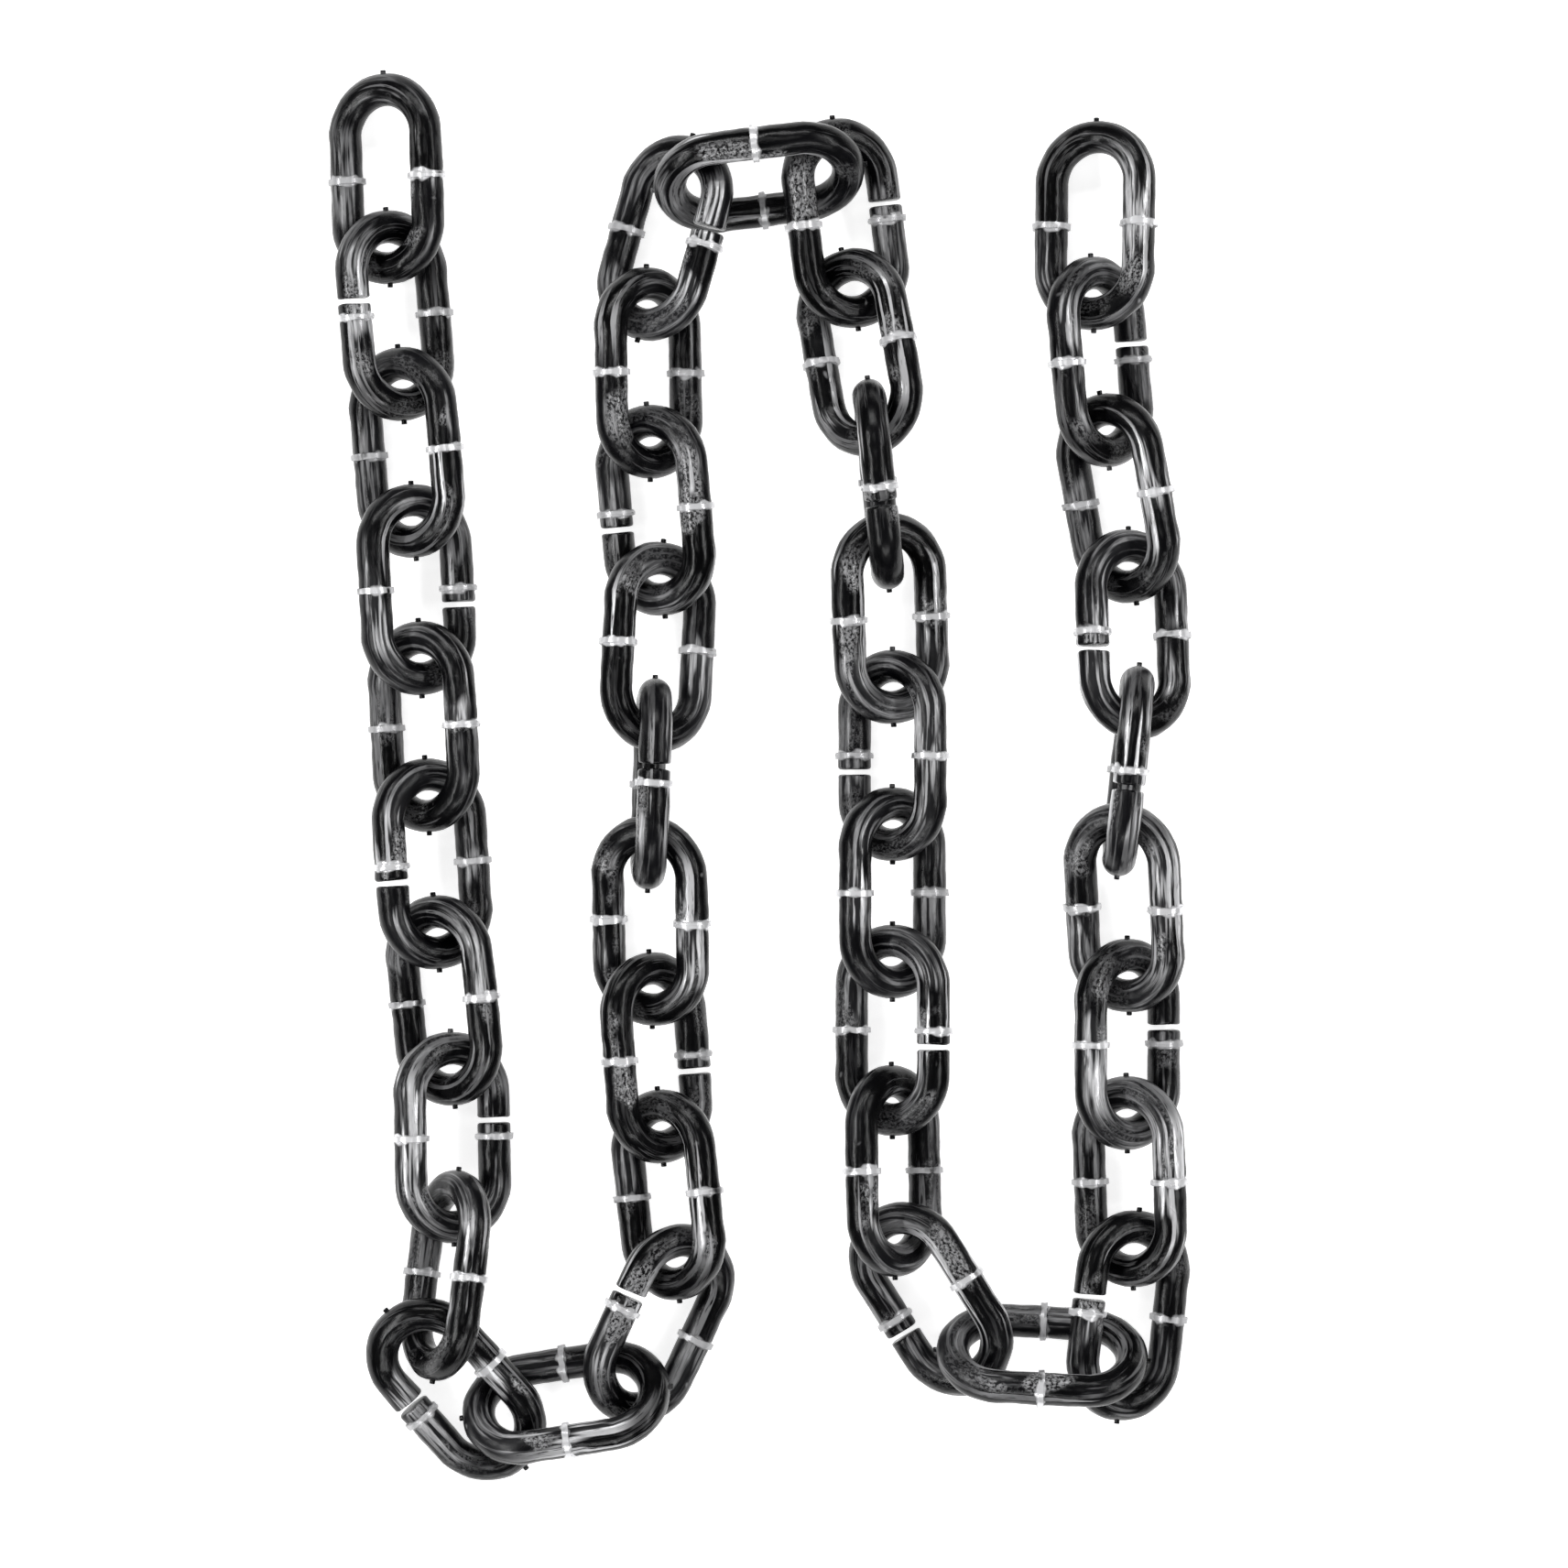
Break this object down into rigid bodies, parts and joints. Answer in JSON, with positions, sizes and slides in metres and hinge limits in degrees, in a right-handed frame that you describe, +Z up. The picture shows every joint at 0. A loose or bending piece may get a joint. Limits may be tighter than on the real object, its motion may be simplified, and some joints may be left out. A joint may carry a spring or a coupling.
{
  "type": "decorative link chain",
  "caption": "Length of oval moulded chain links with seam rings, some slit through one leg, laid in a serpentine of four runs.",
  "frame": {"origin": "centre of the floor rectangle that the laid chain covers, on the floor it rests on", "axes": "+Z up from the floor, +Y along the four runs towards the two loose ends, +X from the first run to the last"},
  "size_m": [0.2904, 0.4733, 0.045],
  "materials": {
    "chain_plastic": "satin black moulded plastic with a silver dry-brushed antique finish"
  },
  "bodies": {
    "closed_link_01": {"closed_link_01": "chain_plastic"},
    "split_link_02": {"split_link_02": "chain_plastic"},
    "closed_link_03": {"closed_link_03": "chain_plastic"},
    "split_link_04": {"split_link_04": "chain_plastic"},
    "closed_link_05": {"closed_link_05": "chain_plastic"},
    "split_link_06": {"split_link_06": "chain_plastic"},
    "closed_link_07": {"closed_link_07": "chain_plastic"},
    "split_link_08": {"split_link_08": "chain_plastic"},
    "closed_link_09": {"closed_link_09": "chain_plastic"},
    "split_link_10": {"split_link_10": "chain_plastic"},
    "closed_link_11": {"closed_link_11": "chain_plastic"},
    "split_link_12": {"split_link_12": "chain_plastic"},
    "closed_link_13": {"closed_link_13": "chain_plastic"},
    "split_link_14": {"split_link_14": "chain_plastic"},
    "closed_link_15": {"closed_link_15": "chain_plastic"},
    "split_link_16": {"split_link_16": "chain_plastic"},
    "closed_link_17": {"closed_link_17": "chain_plastic"},
    "split_link_18": {"split_link_18": "chain_plastic"},
    "closed_link_19": {"closed_link_19": "chain_plastic"},
    "split_link_20": {"split_link_20": "chain_plastic"},
    "closed_link_21": {"closed_link_21": "chain_plastic"},
    "split_link_22": {"split_link_22": "chain_plastic"},
    "closed_link_23": {"closed_link_23": "chain_plastic"},
    "split_link_24": {"split_link_24": "chain_plastic"},
    "closed_link_25": {"closed_link_25": "chain_plastic"},
    "split_link_26": {"split_link_26": "chain_plastic"},
    "closed_link_27": {"closed_link_27": "chain_plastic"},
    "split_link_28": {"split_link_28": "chain_plastic"},
    "closed_link_29": {"closed_link_29": "chain_plastic"},
    "split_link_30": {"split_link_30": "chain_plastic"},
    "closed_link_31": {"closed_link_31": "chain_plastic"},
    "split_link_32": {"split_link_32": "chain_plastic"},
    "closed_link_33": {"closed_link_33": "chain_plastic"},
    "split_link_34": {"split_link_34": "chain_plastic"},
    "closed_link_35": {"closed_link_35": "chain_plastic"},
    "split_link_36": {"split_link_36": "chain_plastic"},
    "split_link_37": {"split_link_37": "chain_plastic"},
    "closed_link_38": {"closed_link_38": "chain_plastic"},
    "split_link_39": {"split_link_39": "chain_plastic"},
    "closed_link_40": {"closed_link_40": "chain_plastic"}
  },
  "joints": [
    {"name": "swing_01_02", "type": "hinge", "parent": "split_link_02", "child": "closed_link_01", "pos_m": [-0.12463, 0.18393, 0.01588], "axis": [-0.8259, -0.0723, 0.5592], "range_deg": [-18, 12]},
    {"name": "swing_02_03", "type": "hinge", "parent": "closed_link_03", "child": "split_link_02", "pos_m": [-0.12062, 0.13811, 0.01591], "axis": [0.8357, 0.0704, 0.5446], "range_deg": [-29, 29]},
    {"name": "swing_03_04", "type": "hinge", "parent": "split_link_04", "child": "closed_link_03", "pos_m": [-0.11637, 0.0923, 0.01562], "axis": [-0.8735, -0.0434, 0.4848], "range_deg": [-14, 17]},
    {"name": "swing_04_05", "type": "hinge", "parent": "closed_link_05", "child": "split_link_04", "pos_m": [-0.11396, 0.04636, 0.01588], "axis": [-0.8279, -0.0434, -0.5592], "range_deg": [-18, 18]},
    {"name": "swing_05_06", "type": "hinge", "parent": "split_link_06", "child": "closed_link_05", "pos_m": [-0.11167, 0.00042, 0.01588], "axis": [0.8639, 0.0604, -0.5], "range_deg": [-20, 22]},
    {"name": "swing_06_07", "type": "hinge", "parent": "closed_link_07", "child": "split_link_06", "pos_m": [-0.10871, -0.0455, 0.01588], "axis": [0.8245, 0.0867, 0.5592], "range_deg": [-23, 19]},
    {"name": "swing_07_08", "type": "hinge", "parent": "split_link_08", "child": "closed_link_07", "pos_m": [-0.10329, -0.09122, 0.01579], "axis": [-0.8829, -0.0092, 0.4694], "range_deg": [-10, 20]},
    {"name": "swing_08_09", "type": "hinge", "parent": "closed_link_09", "child": "split_link_08", "pos_m": [-0.10122, -0.13735, 0.0189], "axis": [0.5327, -0.0097, 0.8462], "range_deg": [-45, 45]},
    {"name": "swing_09_10", "type": "hinge", "parent": "split_link_10", "child": "closed_link_09", "pos_m": [-0.12101, -0.18318, 0.01981], "axis": [0.7509, 0.5938, 0.289], "range_deg": [-45, 2]},
    {"name": "roll_10_11", "type": "hinge", "parent": "closed_link_11", "child": "split_link_10", "pos_m": [-0.0855, -0.21421, 0.01436], "axis": [0.9346, 0.3037, 0.1854], "range_deg": [-3, 45]},
    {"name": "swing_11_12", "type": "hinge", "parent": "split_link_12", "child": "closed_link_11", "pos_m": [-0.04631, -0.21098, 0.0152], "axis": [0.7769, -0.3622, -0.515], "range_deg": [-23, 14]},
    {"name": "swing_12_13", "type": "hinge", "parent": "closed_link_13", "child": "split_link_12", "pos_m": [-0.02728, -0.17012, 0.01791], "axis": [-0.7823, -0.0957, -0.6155], "range_deg": [-12, 19]},
    {"name": "swing_13_14", "type": "hinge", "parent": "split_link_14", "child": "closed_link_13", "pos_m": [-0.03233, -0.1244, 0.01675], "axis": [0.7861, 0.055, -0.6157], "range_deg": [-45, 45]},
    {"name": "swing_14_15", "type": "hinge", "parent": "closed_link_15", "child": "split_link_14", "pos_m": [-0.03591, -0.07839, 0.01585], "axis": [-0.9071, 0.0386, -0.4191], "range_deg": [-20, 13]},
    {"name": "swing_15_16", "type": "hinge", "parent": "split_link_16", "child": "closed_link_15", "pos_m": [-0.03695, -0.0189, 0.02358], "axis": [-0.9071, 0.0386, -0.4191], "range_deg": [-15, 6]},
    {"name": "swing_16_17", "type": "hinge", "parent": "closed_link_17", "child": "split_link_16", "pos_m": [-0.03543, 0.01329, 0.02119], "axis": [-0.8439, 0.1019, 0.5268], "range_deg": [-16, 12]},
    {"name": "swing_17_18", "type": "hinge", "parent": "split_link_18", "child": "closed_link_17", "pos_m": [-0.03206, 0.05903, 0.01522], "axis": [0.864, 0.0611, 0.4998], "range_deg": [-19, 5]},
    {"name": "swing_18_19", "type": "hinge", "parent": "closed_link_19", "child": "split_link_18", "pos_m": [-0.03656, 0.10482, 0.01675], "axis": [-0.7879, -0.0138, 0.6157], "range_deg": [-28, 35]},
    {"name": "swing_19_20", "type": "hinge", "parent": "split_link_20", "child": "closed_link_19", "pos_m": [-0.03927, 0.15125, 0.01718], "axis": [0.8444, -0.1948, 0.4991], "range_deg": [-8, 34]},
    {"name": "swing_20_21", "type": "hinge", "parent": "closed_link_21", "child": "split_link_20", "pos_m": [-0.02377, 0.20909, 0.01354], "axis": [-0.8444, 0.1948, -0.4991], "range_deg": [-12, 14]},
    {"name": "swing_21_22", "type": "hinge", "parent": "closed_link_21", "child": "split_link_22", "pos_m": [0.0297, 0.2039, 0.0197], "axis": [0.0989, -0.675, -0.7312], "range_deg": [-14, 5]},
    {"name": "swing_22_23", "type": "hinge", "parent": "split_link_22", "child": "closed_link_23", "pos_m": [0.0325, 0.15537, 0.01491], "axis": [0.9007, 0.1013, -0.4225], "range_deg": [-11, 9]},
    {"name": "swing_23_24", "type": "hinge", "parent": "closed_link_23", "child": "split_link_24", "pos_m": [0.03671, 0.12715, 0.02532], "axis": [-0.0091, 0.0865, -0.9962], "range_deg": [-24, 4]},
    {"name": "swing_24_25", "type": "hinge", "parent": "split_link_24", "child": "closed_link_25", "pos_m": [0.04275, 0.08264, 0.01942], "axis": [0.8974, 0.0569, -0.4376], "range_deg": [-19, 26]},
    {"name": "swing_25_26", "type": "hinge", "parent": "closed_link_25", "child": "split_link_26", "pos_m": [0.04484, 0.02278, 0.01591], "axis": [-0.8974, -0.0569, 0.4376], "range_deg": [-18, 13]},
    {"name": "swing_26_27", "type": "hinge", "parent": "split_link_26", "child": "closed_link_27", "pos_m": [0.0446, -0.02325, 0.01632], "axis": [-0.809, 0, -0.5878], "range_deg": [-45, 45]},
    {"name": "swing_27_28", "type": "hinge", "parent": "closed_link_27", "child": "split_link_28", "pos_m": [0.0446, -0.06925, 0.01632], "axis": [0.809, 0, -0.5878], "range_deg": [-22, 22]},
    {"name": "swing_28_29", "type": "hinge", "parent": "split_link_28", "child": "closed_link_29", "pos_m": [0.0446, -0.11525, 0.01679], "axis": [-0.8746, -0.0043, -0.4848], "range_deg": [-45, 45]},
    {"name": "swing_29_30", "type": "hinge", "parent": "closed_link_29", "child": "split_link_30", "pos_m": [0.04537, -0.1622, 0.01985], "axis": [-0.6825, 0.0199, 0.7307], "range_deg": [-45, 11]},
    {"name": "swing_30_31", "type": "hinge", "parent": "split_link_30", "child": "closed_link_31", "pos_m": [0.07337, -0.20079, 0.0141], "axis": [-0.7608, -0.4638, -0.4539], "range_deg": [-6, 45]},
    {"name": "roll_31_32", "type": "hinge", "parent": "closed_link_31", "child": "split_link_32", "pos_m": [0.11563, -0.19498, 0.01749], "axis": [-0.9037, 0.0474, 0.4255], "range_deg": [-45, 2]},
    {"name": "swing_32_33", "type": "hinge", "parent": "split_link_32", "child": "closed_link_33", "pos_m": [0.12678, -0.15107, 0.0154], "axis": [0.8872, -0.0833, -0.4539], "range_deg": [-10, 18]},
    {"name": "swing_33_34", "type": "hinge", "parent": "closed_link_33", "child": "split_link_34", "pos_m": [0.12304, -0.10602, 0.01642], "axis": [0.8384, 0.0214, 0.5446], "range_deg": [-38, 35]},
    {"name": "swing_34_35", "type": "hinge", "parent": "split_link_34", "child": "closed_link_35", "pos_m": [0.12329, -0.06002, 0.01632], "axis": [0.809, 0, -0.5878], "range_deg": [-23, 13]},
    {"name": "swing_35_36", "type": "hinge", "parent": "closed_link_35", "child": "split_link_36", "pos_m": [0.12054, -0.01451, 0.02368], "axis": [-0.8852, 0.0189, -0.4649], "range_deg": [-12, 13]},
    {"name": "swing_36_37", "type": "hinge", "parent": "split_link_36", "child": "split_link_37", "pos_m": [0.12595, 0.01762, 0.02362], "axis": [0.8763, -0.0322, -0.4807], "range_deg": [-11, 9]},
    {"name": "swing_37_38", "type": "hinge", "parent": "split_link_37", "child": "closed_link_38", "pos_m": [0.12387, 0.07708, 0.01585], "axis": [-0.8763, 0.0322, 0.4807], "range_deg": [-18, 33]},
    {"name": "swing_38_39", "type": "hinge", "parent": "closed_link_38", "child": "split_link_39", "pos_m": [0.1149, 0.12244, 0.01794], "axis": [-0.7784, -0.1233, -0.6155], "range_deg": [-45, 45]},
    {"name": "swing_39_40", "type": "hinge", "parent": "split_link_39", "child": "closed_link_40", "pos_m": [0.1115, 0.16837, 0.01778], "axis": [0.7286, 0.0637, -0.682], "range_deg": [-13, 26]}
  ]
}
